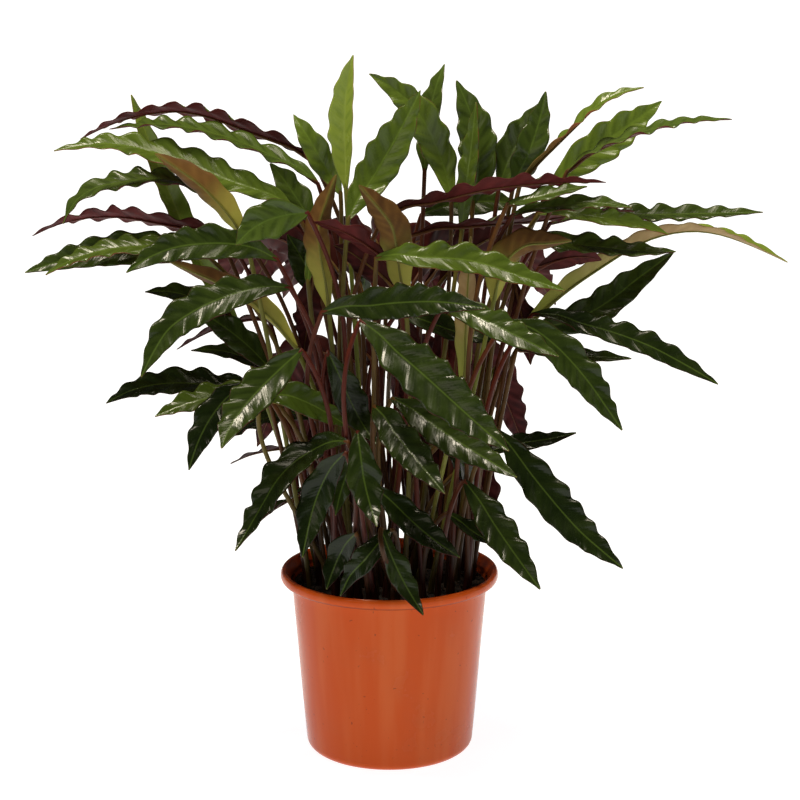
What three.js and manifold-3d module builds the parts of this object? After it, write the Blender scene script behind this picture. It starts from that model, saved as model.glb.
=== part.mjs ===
// Potted calathea: a plastic nursery pot filled with soil, and long waved leaves on thin stalks.
// Millimetres, +Z up. The origin is the middle of the pot's flat base, and -Y is the front.

import * as THREE from 'three';
import { mergeVertices } from 'three/addons/utils/BufferGeometryUtils.js';
import Module from 'manifold-3d';

const wasm = await Module();
wasm.setup();

// Pot
const POT_HEIGHT = 178;
const POT_BASE_RADIUS = 80.7;
const POT_NECK_RADIUS = 94.3;
const POT_CORNER = 7;
const CORNER_CUT = 0.29;
const POT_WALL = 2;
const POT_FLOOR = 2.8;
const RIM_RADIUS = 105;
const RIM_INNER_RADIUS = 98.3;
const RIM_DEPTH = 10;
const RIM_ROUNDING = 0.16;
const RIM_FOOT = POT_HEIGHT - RIM_DEPTH;
const ROLL_DEPTH = 6;
const INNER_CORNER = 4;
const POT_SEGMENTS = 32;

// Soil
const SOIL_TOP = 164;
const GAP = 0.3;
const HOLE_CLEARANCE = 0.45;
const HOLE_DEPTH = 24;

// Stalks and shoots
const STALK_RADIUS = 2.4;
const SHEATH_RADIUS = 5.2;
const SHEATH_SPREAD = 1.6;
const SHEATH_RISE = 8.4;
const ROOT_DEPTH = 22;
const ROOT_RISE = 14;
const ROOT_REACH = 80;
const ROOT_MARGIN = 6;
const ROOT_SHARE = 0.62;
const ROOT_TURN = 2.4;
const FIRST_ROUNDS = 300;
const LATER_ROUNDS = 8;
const ROOT_LEAN = 0.22;
const ROOT_SPACING = 17;
const MOST_SHOOTS = 58;
const SHEATH_SINK = 0.5;

// A stalk's curve: how much it rises on arriving at its blade, the lengths of its two handles as shares
// of the straight distance, and the share of the curve at which its bend is taken.
const ARRIVE_UP = 0.7;
const RISE_HANDLE = 0.5;
const LEAD_HANDLE = 0.28;
const BEND_SHARE = 0.55;

// Marks along a leaf's middle line: 0 root end, 1 stalk clear of the soil, 2 stalk's bend, 3 blade's base
const BASE_MARK = 3;

// Blades
const BLADE_THICKNESS = 0.9;
const RIB_DEPTH = 1.5;
const EDGE_BEVEL = 0.35;
// A power below 1 that puts the widest place a little before the middle.
const WIDEST_EARLY = 0.9;
const HALF_WAVE = 24;
const WAVE_HEIGHT = 4.2;
const WAVE_SWELL = 0.07;
const FULL_WAVE_HALF = 12;
const FEWEST_STATIONS = 4;
const FINE_STEPS = 12;
const RIB_SINK = 0.5;

// How leaves are put in order from front to back, and bent clear of each other
const CELL = 4;
const CLEARANCE = 3;
const EASE = 0.55;
const HIGH_IS_FURTHER = 0.15;
const BLADES_COUNT = 1;
const STALK_AND_BLADE_COUNT = 2;
const RANKING_ROUNDS = 6;
const CLEARING_ROUNDS = 260;

const UP = new THREE.Vector3(0, 0, 1);

// Every leaf below is given on the upright plane through the pot's axis, as it is seen from here.
const EYE = new THREE.Vector3(10.2, -1918, 767);

// Leaf kinds: colour of the blade, how slowly it narrows to its ends (less is blunter), and at its base and
// tip the fold of its halves toward each other and its share of the full wave.
const KINDS = {
  mature: { colour: 0x2c431b, narrow: 0.75, fold: [0.16, 0.16], wave: [1, 1] },
  fresh: { colour: 0x4f6f24, narrow: 0.75, fold: [0.2, 0.2], wave: [0.9, 0.9] },
  young: { colour: 0x8f9a48, narrow: 0.5, fold: [0.8, 0.5], wave: [0.1, 0.8] },
  furled: { colour: 0x6b4a28, narrow: 0.55, fold: [0.9, 0.7], wave: [0.1, 0.5] },
};

// kind, half width, [facing at base, at tip], [depth at base, at tip], then x and z from blade base to tip.
// Facing turns the upper side from the eye (0) over its outer edge (90) to away from the eye (180).
// Depth is how far a point lies in front of the plane, toward the eye.
const LEAVES = [
  // left side, from the top down
  ['young', 11, [30, 0], [-20, -35], [-138, 398], [-156, 436], [-178, 482], [-205, 545], [-237, 631]],
  ['mature', 17, [112, 104], [-35, -30], [-68, 568], [-125, 597], [-190, 617], [-245, 609], [-285, 591]],
  ['mature', 18, [62, 75], [-10, -20], [-66, 549], [-110, 577], [-165, 598], [-215, 605], [-258, 600]],
  ['fresh', 18, [35, 60], [10, 30], [-88, 525], [-150, 554], [-205, 576], [-260, 587], [-310, 580]],
  ['furled', 12, [160, 160], [45, 35], [-134, 497], [-150, 524], [-178, 552], [-216, 577]],
  ['mature', 16, [70, 55], [0, 10], [-160, 532], [-205, 554], [-250, 551], [-285, 540], [-304, 512]],
  ['mature', 17, [116, 104], [-25, -10], [-150, 498], [-205, 512], [-255, 520], [-300, 515], [-333, 501]],
  ['mature', 18, [30, 30], [10, 30], [-150, 482], [-205, 488], [-255, 487], [-300, 479], [-341, 466]],
  ['fresh', 14, [55, 55], [30, 50], [-175, 487], [-215, 492], [-260, 489], [-295, 479], [-322, 464]],
  ['mature', 17, [20, 20], [50, 100], [-105, 478], [-140, 492], [-180, 493], [-215, 485], [-246, 466]],
  ['furled', 10, [150, 150], [35, 30], [-88, 394], [-104, 418], [-135, 445], [-208, 478]],
  ['mature', 13, [40, 35], [-20, -20], [-150, 425], [-180, 441], [-205, 448], [-229, 448]],
  ['mature', 18, [40, 10], [60, 130], [-93, 451], [-125, 451], [-163, 440], [-208, 412], [-235, 366]],
  ['mature', 16, [25, 25], [0, -10], [-112, 372], [-135, 398], [-160, 418], [-185, 432]],
  ['mature', 13, [97, 95], [-30, -30], [-105, 419], [-140, 421], [-170, 411], [-201, 393]],
  ['mature', 11, [45, 40], [-15, 0], [-100, 365], [-130, 383], [-160, 392], [-187, 392]],
  ['mature', 18, [45, 45], [10, 30], [-120, 352], [-160, 358], [-205, 361], [-240, 355], [-269, 341]],
  ['fresh', 16, [45, 40], [40, 70], [-115, 348], [-150, 350], [-185, 343], [-223, 328]],
  ['mature', 19, [20, 15], [80, 165], [-83, 392], [-105, 372], [-132, 345], [-152, 317], [-160, 297]],
  ['mature', 16, [20, 20], [60, 110], [-130, 362], [-155, 345], [-177, 315], [-192, 275]],
  ['mature', 16, [45, 60], [-20, -50], [-70, 325], [-105, 330], [-135, 320], [-158, 303]],
  ['mature', 11, [93, 95], [-50, -60], [-75, 296], [-105, 297], [-130, 292], [-152, 282]],
  ['fresh', 16, [30, 20], [70, 85], [-122, 344], [-100, 349], [-72, 339], [-38, 317]],
  ['mature', 17, [30, 40], [80, 150], [-40, 303], [-72, 296], [-103, 272], [-133, 222], [-149, 195]],
  ['mature', 11, [80, 80], [20, 30], [-65, 262], [-90, 250], [-110, 238], [-128, 222]],
  ['mature', 16, [10, 10], [85, 130], [-42, 292], [-60, 270], [-74, 235], [-84, 188]],
  ['mature', 13, [15, 15], [84, 104], [-32, 212], [-50, 187], [-61, 156]],
  // hanging over the front
  ['mature', 13, [20, 20], [86, 112], [2, 215], [-20, 190], [-38, 170], [-48, 149]],
  ['mature', 17, [15, 15], [40, 72], [-58, 390], [-42, 355], [-28, 325], [-11, 299]],
  ['mature', 17, [10, 10], [84, 160], [-30, 312], [-27, 285], [-22, 255], [-12, 219]],
  ['mature', 17, [15, 15], [80, 185], [-14, 337], [5, 312], [28, 283], [53, 252]],
  ['mature', 15, [15, 20], [80, 140], [-17, 260], [10, 236], [38, 210], [68, 188]],
  ['mature', 13, [15, 20], [85, 132], [-8, 216], [4, 185], [18, 156], [33, 130]],
  ['mature', 22, [10, 5], [95, 205], [-27, 420], [0, 397], [35, 366], [78, 326], [114, 294]],
  ['mature', 18, [20, 15], [80, 165], [3, 345], [32, 327], [68, 302], [122, 268]],
  ['mature', 17, [20, 20], [75, 140], [-63, 428], [-25, 434], [15, 438], [52, 438], [90, 432]],
  ['mature', 15, [25, 25], [75, 130], [50, 433], [78, 426], [110, 411], [160, 386]],
  // right side, from the bottom up
  ['mature', 18, [5, 15], [50, 110], [103, 314], [123, 288], [151, 252], [185, 213], [226, 177]],
  ['mature', 11, [40, 30], [10, 10], [85, 288], [115, 300], [148, 305], [178, 312]],
  ['mature', 17, [10, 15], [55, 115], [72, 264], [94, 232], [118, 196], [146, 156]],
  ['mature', 10, [40, 40], [40, 60], [55, 232], [77, 217], [102, 200]],
  ['mature', 17, [15, 15], [40, 75], [112, 420], [150, 402], [182, 370], [222, 314]],
  ['mature', 14, [40, 30], [20, 30], [135, 426], [185, 417], [242, 398], [280, 378], [312, 359]],
  ['mature', 16, [10, 15], [-20, -55], [130, 408], [168, 418], [202, 436], [235, 462], [266, 485]],
  ['mature', 15, [55, 50], [0, -10], [110, 500], [150, 495], [190, 492], [230, 487], [268, 486]],
  ['young', 11, [150, 60], [-30, -45], [125, 410], [155, 442], [195, 473], [245, 502], [290, 508],
    [330, 497], [373, 476]],
  ['mature', 13, [60, 50], [-38, -65], [150, 512], [200, 519], [250, 521], [300, 522], [348, 523]],
  ['fresh', 11, [45, 40], [-10, -5], [140, 521], [190, 519], [230, 513], [261, 502]],
  ['mature', 11, [50, 50], [10, 15], [115, 520], [150, 528], [190, 532], [226, 527]],
  ['mature', 15, [118, 112], [15, 0], [-5, 519], [45, 534], [95, 546], [150, 551], [201, 551]],
  ['mature', 15, [108, 100], [-5, -30], [20, 500], [80, 511], [140, 516], [190, 524], [228, 524]],
  ['fresh', 18, [5, 5], [-20, -60], [150, 548], [175, 569], [210, 595], [251, 625]],
  ['mature', 12, [75, 70], [0, -30], [165, 560], [200, 585], [238, 599], [275, 607], [316, 609]],
  ['fresh', 11, [120, 40], [0, -30], [122, 550], [145, 577], [172, 604], [202, 629], [234, 638]],
  // upright in the middle
  ['mature', 15, [10, 5], [-20, -40], [115, 545], [128, 575], [138, 605], [144, 634]],
  ['mature', 18, [10, 20], [-40, -60], [102, 545], [111, 572], [125, 600], [139, 624]],
  ['mature', 19, [5, 5], [-50, -70], [78, 530], [83, 568], [78, 606], [62, 644]],
  ['fresh', 10, [20, 20], [-30, -40], [68, 505], [71, 545], [76, 585], [80, 624]],
  ['fresh', 17, [10, 15], [-50, -60], [58, 535], [49, 570], [34, 604], [13, 630], [-18, 650]],
  ['mature', 12, [20, 20], [-60, -95], [33, 560], [35, 600], [42, 635], [51, 659]],
  ['fresh', 19, [8, 8], [0, -20], [-38, 516], [-17, 552], [6, 591], [29, 635]],
  ['young', 13, [30, 25], [-20, -30], [-40, 545], [-43, 590], [-41, 630], [-33, 667]],
  ['fresh', 14, [10, 15], [-30, -45], [-45, 540], [-57, 562], [-72, 588], [-88, 613]],
  ['mature', 20, [5, 5], [50, 80], [-76, 522], [-98, 519], [-122, 511], [-143, 492]],
  ['mature', 15, [20, 20], [-20, -35], [-70, 512], [-82, 530], [-95, 550], [-110, 568]],
  ['furled', 12, [170, 170], [40, 20], [-57, 433], [-63, 470], [-67, 505], [-49, 557]],
  ['furled', 15, [175, 170], [55, 70], [15, 440], [9, 475], [4, 508], [-28, 548]],
  ['mature', 13, [135, 130], [50, 45], [0, 476], [-20, 492], [-45, 507], [-71, 514]],
  ['mature', 17, [160, 150], [10, 0], [5, 450], [-15, 470], [-35, 485], [-52, 492]],
  ['fresh', 15, [30, 30], [60, 85], [-12, 479], [30, 481], [80, 477], [120, 464], [165, 449]],
  ['furled', 14, [165, 150], [20, 0], [98, 437], [102, 463], [118, 490], [170, 496]],
  ['young', 9, [170, 170], [30, 20], [70, 356], [71, 400], [73, 450], [76, 500]],
  ['fresh', 7, [20, 20], [30, 30], [-76, 458], [-72, 480], [-62, 500]],
  ['mature', 10, [50, 50], [30, 20], [110, 530], [135, 536], [160, 543], [184, 547]],
  // behind those, in the shade
  ['mature', 17, [15, 15], [-20, -30], [-60, 440], [-72, 462], [-83, 482], [-95, 502]],
  ['mature', 16, [40, 40], [0, -10], [8, 428], [40, 418], [70, 408], [100, 400]],
  ['mature', 13, [30, 30], [20, 30], [50, 302], [68, 284], [86, 256]],
  ['mature', 12, [20, 20], [50, 60], [-28, 292], [-44, 263], [-52, 230]],
  ['mature', 10, [50, 40], [5, 0], [120, 392], [155, 388], [190, 386], [229, 384]],
  ['mature', 16, [165, 160], [0, -15], [-70, 470], [-74, 440], [-78, 412], [-82, 385]],
  ['mature', 16, [20, 20], [-60, -80], [30, 520], [60, 530], [92, 533], [125, 530]],
  ['mature', 15, [160, 160], [-20, -40], [118, 455], [124, 430], [130, 405], [134, 378]],
  ['mature', 14, [150, 150], [-20, -40], [140, 470], [158, 478], [178, 482], [198, 478]],
  ['mature', 20, [160, 160], [-25, -45], [14, 425], [18, 385], [24, 345], [28, 305]],
  ['mature', 20, [150, 160], [-30, -55], [52, 430], [56, 390], [60, 350], [64, 312]],
  ['mature', 16, [160, 150], [-25, -50], [34, 330], [40, 295], [46, 260], [50, 228]],
  ['mature', 19, [165, 160], [-20, -40], [-24, 345], [-26, 310], [-24, 275], [-20, 240]],
  ['mature', 19, [160, 160], [-15, -35], [-56, 372], [-60, 340], [-62, 305], [-60, 272]],
];

// Leaves that reach away behind the plant, each row one tier: count, x range, z and depth at base and tip.
const BACK_TIERS = [
  { count: 9, x: [-150, 135], z: [455, 505, 445], depth: [-80, -150, -225] },
  { count: 7, x: [-105, 110], z: [375, 390, 300], depth: [-80, -130, -185] },
  { count: 5, x: [-60, 85], z: [300, 302, 225], depth: [-75, -100, -130] },
];
const BACK_HALF = 21;
const BACK_DROP = 30;
const BACK_NEAR = 45;
const BACK_FACING = 135;
const BACK_TURN = 35;
const BACK_ROOT = 0.35;
const BACK_SPREAD = 0.33;
const BACK_DRIFT = 10;

function seeded(seed) {
  let state = seed;
  return () => {
    state = (state * 1664525 + 1013904223) % 4294967296;
    return state / 4294967296;
  };
}

// The point that looks to be at x, z of the axis plane and lies `depth` in front of it.
function onSight(x, z, depth) {
  const share = 1 + depth / EYE.y;
  return new THREE.Vector3(x, 0, z).sub(EYE).multiplyScalar(share).add(EYE);
}

function slide(point, depth) {
  const share = 1 - depth / (point.y - EYE.y);
  return point.clone().sub(EYE).multiplyScalar(share).add(EYE);
}

function leafFromRow([kind, half, face, depth, ...path], index) {
  const last = path.length - 1;
  const points = path.map(([x, z], i) => onSight(x, z, THREE.MathUtils.lerp(depth[0], depth[1], i / last)));
  return { kind, half, face, points, side: path[last][0] < path[0][0] ? 1 : -1, flip: index % 2 };
}

function backRows() {
  const random = seeded(11);
  const rows = [];
  for (const tier of BACK_TIERS) {
    for (let i = 0; i < tier.count; i += 1) {
      const x = THREE.MathUtils.lerp(tier.x[0], tier.x[1], i / (tier.count - 1));
      const drop = BACK_DROP * random();
      const near = BACK_NEAR * random();
      const drift = BACK_DRIFT * Math.sign(x);
      const path = tier.z.map((z, k) => [x * (BACK_ROOT + BACK_SPREAD * k) + drift * k, z - drop * (k / 2)]);
      const turn = BACK_FACING + BACK_TURN * random();
      rows.push(['mature', BACK_HALF, [turn, turn], [tier.depth[0], tier.depth[2] + near], ...path]);
    }
  }
  return rows;
}

const leaves = [...LEAVES, ...backRows()].map(leafFromRow);

// Shoots: leaves of one kind whose stalks come up closest together share a sheath.
function rootTarget(leaf) {
  const base = leaf.points[0];
  const most = ROOT_REACH - ROOT_MARGIN;
  const x = THREE.MathUtils.clamp(ROOT_SHARE * base.x, -most, most);
  const depth = Math.sqrt(ROOT_REACH ** 2 - x ** 2);
  return new THREE.Vector2(x, depth * THREE.MathUtils.mapLinear(leaf.rank, 0, leaves.length - 1, -1, 1));
}

function groupShoots() {
  const groups = leaves.map((leaf) => ({ kind: leaf.kind, leaves: [leaf], target: rootTarget(leaf) }));
  const pairs = [];
  groups.forEach((one, i) => {
    groups.slice(i + 1).forEach((other) => {
      if (one.kind === other.kind) {
        pairs.push({ one, other, apart: one.target.distanceTo(other.target) });
      }
    });
  });
  pairs.sort((a, b) => a.apart - b.apart);
  let count = groups.length;
  for (const { one, other } of pairs) {
    if (count > MOST_SHOOTS && one.leaves.length === 1 && other.leaves.length === 1) {
      one.leaves.push(other.leaves[0]);
      one.target.lerp(other.target, 0.5);
      other.leaves.length = 0;
      count -= 1;
    }
  }
  return groups.filter((group) => group.leaves.length > 0);
}

// Roots start at their targets, each a little off so that no two coincide.
function placeRoots(all) {
  all.forEach((shoot, i) => {
    const turn = i * ROOT_TURN;
    shoot.root = shoot.target.clone().add(new THREE.Vector2(Math.cos(turn), Math.sin(turn)));
  });
}

// Roots closer than their spacing push each other apart, inside the pot.
function settleRoots(all, rounds) {
  for (let round = 0; round < rounds; round += 1) {
    all.forEach((one, i) => {
      all.slice(i + 1).forEach((other) => {
        const away = one.root.clone().sub(other.root);
        const short = ROOT_SPACING - away.length();
        if (short > 0) {
          away.setLength(short / 2);
          one.root.add(away);
          other.root.sub(away);
        }
      });
      one.root.clampLength(0, ROOT_REACH);
    });
  }
  for (const shoot of all) {
    shoot.leaves.forEach((leaf, k) => {
      const spread = shoot.leaves.length > 1 ? (k ? -1 : 1) * SHEATH_SPREAD : 0;
      leaf.root = new THREE.Vector3(shoot.root.x + spread, shoot.root.y, SOIL_TOP);
      leaf.shoot = shoot;
    });
  }
}

// The middle line of a leaf: up out of the soil, over to the blade's base and along the blade to its tip.
function middleLine(leaf) {
  const bottom = leaf.root.clone().addScaledVector(UP, -ROOT_DEPTH);
  const top = leaf.root.clone().addScaledVector(UP, ROOT_RISE);
  const base = leaf.points[0];
  const reach = top.distanceTo(base);
  const onward = leaf.points[1].clone().sub(base).normalize();
  const arrive = onward.addScaledVector(UP, ARRIVE_UP + Math.max(0, -onward.z)).normalize();
  const lean = leaf.root.clone().setZ(0).multiplyScalar(ROOT_LEAN / ROOT_REACH);
  const rise = top.clone().addScaledVector(lean.add(UP), reach * RISE_HANDLE);
  const lead = base.clone().addScaledVector(arrive, -reach * LEAD_HANDLE);
  const sweep = new THREE.CubicBezierCurve3(top, rise, lead, base);
  const middle = slide(sweep.getPoint(BEND_SHARE), leaf.bend);
  return new THREE.CatmullRomCurve3([bottom, top, middle, ...leaf.points]);
}

// Stations along the middle line, in its own steps: the stalk's, then the blade's at even distances.
function stations(leaf, line) {
  const last = line.points.length - 1;
  const fine = FINE_STEPS * (last - BASE_MARK);
  const marks = [];
  const lengths = [0];
  for (let i = 0; i <= fine; i += 1) {
    marks.push(BASE_MARK + ((last - BASE_MARK) * i) / fine);
  }
  const spots = marks.map((mark) => line.getPoint(mark / last));
  for (let i = 1; i <= fine; i += 1) {
    lengths.push(lengths[i - 1] + spots[i].distanceTo(spots[i - 1]));
  }
  const count = Math.max(FEWEST_STATIONS, Math.round(lengths[fine] / HALF_WAVE));
  const blade = [];
  for (let k = 1; k <= count; k += 1) {
    const along = (lengths[fine] * k) / count;
    const next = Math.max(1, lengths.findIndex((length) => length >= along - 1e-9));
    const share = (along - lengths[next - 1]) / (lengths[next] - lengths[next - 1]);
    blade.push({ mark: THREE.MathUtils.lerp(marks[next - 1], marks[next], share), along: k / count });
  }
  const stalk = [0, 1, 2, BASE_MARK].map((mark) => ({ mark, along: 0 }));
  return [...stalk, ...blade];
}

// Which way the upper side looks at one point of the middle line.
function upperSide(leaf, point, tangent, along) {
  const toEye = EYE.clone().sub(point).normalize();
  const facing = toEye.addScaledVector(tangent, -toEye.dot(tangent)).normalize();
  const outer = new THREE.Vector3().crossVectors(tangent, facing).multiplyScalar(leaf.side);
  const turn = THREE.MathUtils.degToRad(THREE.MathUtils.lerp(leaf.face[0], leaf.face[1], along));
  return facing.multiplyScalar(Math.cos(turn)).addScaledVector(outer, Math.sin(turn));
}

// A ring has six corners: left edge below and above, rib above, right edge above and below, rib below.
function stalkCorners(radius) {
  const corners = [];
  for (let k = 0; k < 6; k += 1) {
    const turn = THREE.MathUtils.degToRad(210 - 60 * k);
    corners.push([radius * Math.cos(turn), radius * Math.sin(turn)]);
  }
  return corners;
}

function bladeCorners(leaf, along, index) {
  const [fold, wave] = ['fold', 'wave'].map((key) => THREE.MathUtils.lerp(...KINDS[leaf.kind][key], along));
  const half = leaf.half * Math.sin(Math.PI * along ** WIDEST_EARLY) ** KINDS[leaf.kind].narrow;
  const height = WAVE_HEIGHT * wave * Math.min(1, half / FULL_WAVE_HALF);
  const left = index % 2 ? 1 : -1;
  const right = leaf.flip ? left : -left;
  const edge = (sign) => half * (1 + WAVE_SWELL * wave * sign);
  const lift = (sign) => (edge(sign) - RIB_SINK * half) * fold + height * sign;
  const skin = BLADE_THICKNESS / 2;
  const sink = RIB_SINK * half * fold;
  return [
    [EDGE_BEVEL - edge(left), lift(left) - skin],
    [-edge(left), lift(left) + skin],
    [0, skin - sink],
    [edge(right), lift(right) + skin],
    [edge(right) - EDGE_BEVEL, lift(right) - skin],
    [0, skin - sink - RIB_DEPTH],
  ];
}

function rings(leaf) {
  const line = middleLine(leaf);
  const last = line.points.length - 1;
  const found = stations(leaf, line).map(({ mark, along }, index) => {
    const point = line.getPoint(mark / last);
    const tangent = line.getTangent(mark / last);
    return { mark, along, index, point, tangent, normal: upperSide(leaf, point, tangent, along) };
  });
  return found.map((station, i) => {
    const before = found[Math.max(0, i - 1)].normal;
    const after = found[Math.min(found.length - 1, i + 1)].normal;
    const normal = station.normal.clone().multiplyScalar(2).add(before).add(after);
    normal.addScaledVector(station.tangent, -normal.dot(station.tangent)).normalize();
    const across = new THREE.Vector3().crossVectors(station.tangent, normal);
    const onStalk = station.mark <= BASE_MARK;
    const plan = onStalk ? stalkCorners(STALK_RADIUS) : bladeCorners(leaf, station.along, station.index);
    const place = ([u, v]) => station.point.clone().addScaledVector(across, u).addScaledVector(normal, v);
    return { ...station, corners: station.along < 1 ? plan.map(place) : [station.point] };
  });
}

// Fills the cells of the picture that a leaf covers with how near and how far it lies there.
function markCells(leaf, id, cells) {
  const all = rings(leaf);
  for (let i = 0; i + 1 < all.length; i += 1) {
    const [one, two] = [all[i], all[i + 1]];
    const steps = Math.ceil(one.point.distanceTo(two.point) / CELL) + 1;
    const part = `${id}${two.mark > BASE_MARK ? 'b' : 's'}`;
    for (let s = 0; s <= steps; s += 1) {
      const section = one.corners.map((corner, k) => {
        const other = two.corners[two.corners.length > 1 ? k : 0];
        return corner.clone().lerp(other, s / steps);
      });
      const mark = THREE.MathUtils.lerp(one.mark, two.mark, s / steps);
      section.forEach((corner, k) => {
        const next = section[(k + 1) % 6];
        const pieces = Math.ceil(corner.distanceTo(next) / CELL);
        for (let p = 0; p < pieces; p += 1) {
          markPoint(corner.clone().lerp(next, p / pieces), part, id, mark, cells);
        }
      });
    }
  }
}

function markPoint(point, part, id, mark, cells) {
  const far = point.y - EYE.y;
  const scale = -EYE.y / far;
  const column = Math.round(((point.x - EYE.x) * scale) / CELL);
  const row = Math.round(((point.z - EYE.z) * scale) / CELL);
  const key = column * 1000 + row;
  if (!cells.has(key)) {
    cells.set(key, new Map());
  }
  const cell = cells.get(key);
  const span = cell.get(part);
  if (span) {
    span.near = Math.min(span.near, far);
    span.far = Math.max(span.far, far);
  } else {
    cell.set(part, { part, id, mark, near: far, far });
  }
}

function crossings(cells, visit) {
  for (const cell of cells.values()) {
    const spans = [...cell.values()];
    spans.forEach((one, i) => {
      for (let j = i + 1; j < spans.length; j += 1) {
        const two = spans[j];
        const sameShoot = leaves[one.id].shoot === leaves[two.id].shoot;
        const onStalks = Math.max(one.mark, two.mark) < BASE_MARK;
        if (one.id !== two.id && !(sameShoot && onStalks && Math.min(one.mark, two.mark) < 2)) {
          visit(one, two);
        }
      }
    });
  }
}

// The order of the leaves from front to back that fits best with how their blades lie over each other.
function rankLeaves() {
  const cells = new Map();
  leaves.forEach((leaf, id) => markCells(leaf, id, cells));
  const behind = leaves.map(() => leaves.map(() => 0));
  crossings(cells, (one, two) => {
    const onBlades = [one, two].filter((span) => span.mark >= BASE_MARK).length;
    const count = [0, STALK_AND_BLADE_COUNT, BLADES_COUNT][onBlades];
    const further = count * (one.near + one.far - two.near - two.far);
    behind[one.id][two.id] += further;
    behind[two.id][one.id] -= further;
  });
  const key = (id) => leaves[id].points[0].y + HIGH_IS_FURTHER * leaves[id].points[0].z;
  const order = leaves.map((leaf, id) => id).sort((a, b) => key(a) - key(b));
  for (let round = 0; round < RANKING_ROUNDS; round += 1) {
    leaves.forEach((leaf, id) => {
      const from = order.indexOf(id);
      order.splice(from, 1);
      const gains = [0];
      order.forEach((other, k) => gains.push(gains[k] + behind[id][other]));
      const best = Math.max(...gains);
      order.splice(gains[from] > best - 1e-6 ? from : gains.indexOf(best), 0, id);
    });
  }
  order.forEach((id, rank) => {
    leaves[id].rank = rank;
  });
}

// Leaves that cross in the picture are slid along their sight lines, and roots to and fro, until each
// lies clear behind the ones before it in the order.
function bendClear(shoots) {
  for (let round = 0; round < CLEARING_ROUNDS; round += 1) {
    const cells = new Map();
    leaves.forEach((leaf, id) => markCells(leaf, id, cells));
    const pushes = leaves.map((leaf) => [0, leaf.bend, ...leaf.points].map(() => [0, 0]));
    const push = (span, amount) => {
      const lower = Math.floor(span.mark);
      for (const mark of [lower, lower + 1]) {
        const entry = pushes[span.id][mark - 1];
        if (entry) {
          const share = amount * (1 - Math.abs(span.mark - mark));
          entry[0] = Math.max(entry[0], share);
          entry[1] = Math.min(entry[1], share);
        }
      }
    };
    crossings(cells, (one, two) => {
      const further = leaves[one.id].rank > leaves[two.id].rank;
      const gap = further ? one.near - two.far : two.near - one.far;
      if (gap < CLEARANCE) {
        const amount = ((CLEARANCE - gap) / 2) * (further ? -1 : 1);
        push(one, amount);
        push(two, -amount);
      }
    });
    leaves.forEach((leaf, id) => {
      const moves = pushes[id].map(([most, least]) => EASE * (most + least));
      leaf.shoot.root.y -= moves[0] / 2 / leaf.shoot.leaves.length;
      leaf.bend += moves[1];
      leaf.points = leaf.points.map((point, k) => slide(point, moves[k + 2]));
    });
    settleRoots(shoots, LATER_ROUNDS);
  }
}

// Solids
const SPLIT_BACK = [true, true, false, false, true, false];

// Leaf solid: its rings joined by triangles that are split alike on the upper and the lower face.
function leafGeometry(leaf) {
  const all = rings(leaf);
  const positions = all.flatMap((ring) => ring.corners.flatMap((corner) => corner.toArray()));
  const index = [];
  for (let k = 1; k < 5; k += 1) {
    index.push(0, k + 1, k);
  }
  for (let i = 0; i + 2 < all.length; i += 1) {
    for (let k = 0; k < 6; k += 1) {
      const [a, b] = [6 * i + k, 6 * i + ((k + 1) % 6)];
      const [c, d] = [a + 6, b + 6];
      index.push(...(SPLIT_BACK[k] ? [a, b, c, b, d, c] : [a, b, d, a, d, c]));
    }
  }
  const tip = positions.length / 3 - 1;
  for (let k = 0; k < 6; k += 1) {
    index.push(tip - 6 + k, tip - 6 + ((k + 1) % 6), tip);
  }
  const geometry = new THREE.BufferGeometry();
  geometry.setAttribute('position', new THREE.Float32BufferAttribute(positions, 3));
  geometry.setIndex(index);
  return geometry;
}

function toSolid(geometry) {
  const bare = geometry.clone();
  bare.deleteAttribute('normal');
  bare.deleteAttribute('uv');
  const merged = mergeVertices(bare, 1e-4);
  const corners = [];
  for (let i = 0; i < merged.index.count; i += 3) {
    const [a, b, c] = [0, 1, 2].map((k) => merged.index.getX(i + k));
    if (a !== b && b !== c && c !== a) {
      corners.push(a, b, c);
    }
  }
  const vertProperties = Float32Array.from(merged.attributes.position.array);
  const triVerts = Uint32Array.from(corners);
  return new wasm.Manifold(new wasm.Mesh({ numProp: 3, vertProperties, triVerts }));
}

function toGeometry(solid) {
  const mesh = solid.getMesh();
  const geometry = new THREE.BufferGeometry();
  geometry.setAttribute('position', new THREE.BufferAttribute(mesh.vertProperties, 3));
  geometry.setIndex(new THREE.BufferAttribute(mesh.triVerts, 1));
  return geometry;
}

function prism(sides, radius, x, y, bottom, top) {
  const geometry = new THREE.CylinderGeometry(radius, radius, top - bottom, sides);
  return geometry.rotateX(Math.PI / 2).translate(x, y, (top + bottom) / 2);
}

function shootGeometry(shoot) {
  const parts = shoot.leaves.map(leafGeometry);
  if (parts.length === 1) {
    return parts[0];
  }
  const { x, y } = shoot.root;
  const bottom = SOIL_TOP - ROOT_DEPTH - SHEATH_SINK;
  const sheath = prism(6, SHEATH_RADIUS, x, y, bottom, SOIL_TOP + SHEATH_RISE);
  return toGeometry(parts.map(toSolid).reduce((whole, part) => whole.add(part), toSolid(sheath)));
}

function turned(profile) {
  const points = profile.map(([radius, height]) => new THREE.Vector2(radius, height));
  return new THREE.LatheGeometry(points, POT_SEGMENTS).rotateX(Math.PI / 2);
}

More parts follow.
